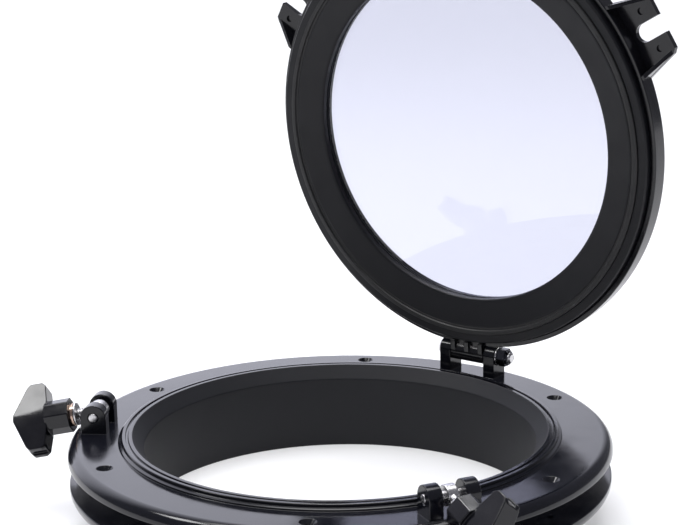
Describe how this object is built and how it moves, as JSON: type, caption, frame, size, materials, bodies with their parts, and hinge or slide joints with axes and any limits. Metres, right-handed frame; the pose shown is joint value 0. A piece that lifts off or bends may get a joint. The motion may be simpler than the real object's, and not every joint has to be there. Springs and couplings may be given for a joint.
{
  "type": "porthole window",
  "caption": "Round opening porthole window: flanged frame with a spigot and trim ring, a hinged glazed lid, and swing-bolt dogs with wing knobs.",
  "frame": {"origin": "centre of the screw circle on the flange's seating face", "axes": "+Z into the cabin along the window's axis, +Y towards the hinge, +X to the right seen from the cabin with the hinge up"},
  "size_m": [0.3228, 0.298, 0.3198],
  "materials": {
    "frame_plastic": "satin",
    "ring_plastic": "matte",
    "knob_plastic": "gloss",
    "rubber": "matte",
    "steel": "satin",
    "glass": "polished"
  },
  "bodies": {
    "frame": {"main_frame": "frame_plastic", "spigot": "frame_plastic", "hinge_ears": "frame_plastic", "dog_ears_a": "frame_plastic", "dog_ears_b": "frame_plastic", "trim_ring": "frame_plastic", "trim_collar": "frame_plastic", "hinge_bolt": "steel", "hinge_washer": "steel", "hinge_nut": "steel", "pivot_pin_a": "steel", "pivot_pin_b": "steel"},
    "lid": {"lid_frame": "frame_plastic", "fork_lug_a": "frame_plastic", "fork_lug_b": "frame_plastic", "lid_ring": "ring_plastic", "glass_pane": "glass", "glazing_seal": "rubber", "lid_seal": "rubber"},
    "dog_a": {"eye_bolt_a": "steel"},
    "washer_a": {"thrust_washer_a": "steel"},
    "knob_a": {"knob_a": "knob_plastic", "knob_insert_a": "steel"},
    "dog_b": {"eye_bolt_b": "steel"},
    "washer_b": {"thrust_washer_b": "steel"},
    "knob_b": {"knob_b": "knob_plastic", "knob_insert_b": "steel"}
  },
  "joints": [
    {"name": "lid_hinge", "type": "hinge", "parent": "frame", "child": "lid", "pos_m": [0, 0.133, 0.0197], "axis": [-1, 0, 0], "range_deg": [-85.7, 34.3]},
    {"name": "dog_a_swing", "type": "hinge", "parent": "frame", "child": "dog_a", "pos_m": [-0.117, -0.06755, 0.0162], "axis": [-0.5, 0.866, 0], "range_deg": [0, 104]},
    {"name": "knob_a_travel", "type": "slide", "parent": "dog_a", "child": "washer_a", "axis": [-0.8501, -0.4908, -0.1908], "range_m": [0, 0.0076]},
    {"name": "knob_a_spin", "type": "hinge", "parent": "washer_a", "child": "knob_a", "pos_m": [-0.117, -0.06755, 0.0162], "axis": [-0.8501, -0.4908, -0.1908], "range_deg": [0, 2160]},
    {"name": "dog_b_swing", "type": "hinge", "parent": "frame", "child": "dog_b", "pos_m": [0.117, -0.06755, 0.0162], "axis": [-0.5, -0.866, 0], "range_deg": [0, 104]},
    {"name": "knob_b_travel", "type": "slide", "parent": "dog_b", "child": "washer_b", "axis": [0.8501, -0.4908, -0.1908], "range_m": [0, 0.0076]},
    {"name": "knob_b_spin", "type": "hinge", "parent": "washer_b", "child": "knob_b", "pos_m": [0.117, -0.06755, 0.0162], "axis": [0.8501, -0.4908, -0.1908], "range_deg": [0, 2160]}
  ],
  "couplings": [
    {"joint": "knob_a_travel", "follows": "knob_a_spin", "m_per_rad": 0.00019894},
    {"joint": "knob_b_travel", "follows": "knob_b_spin", "m_per_rad": 0.00019894}
  ]
}
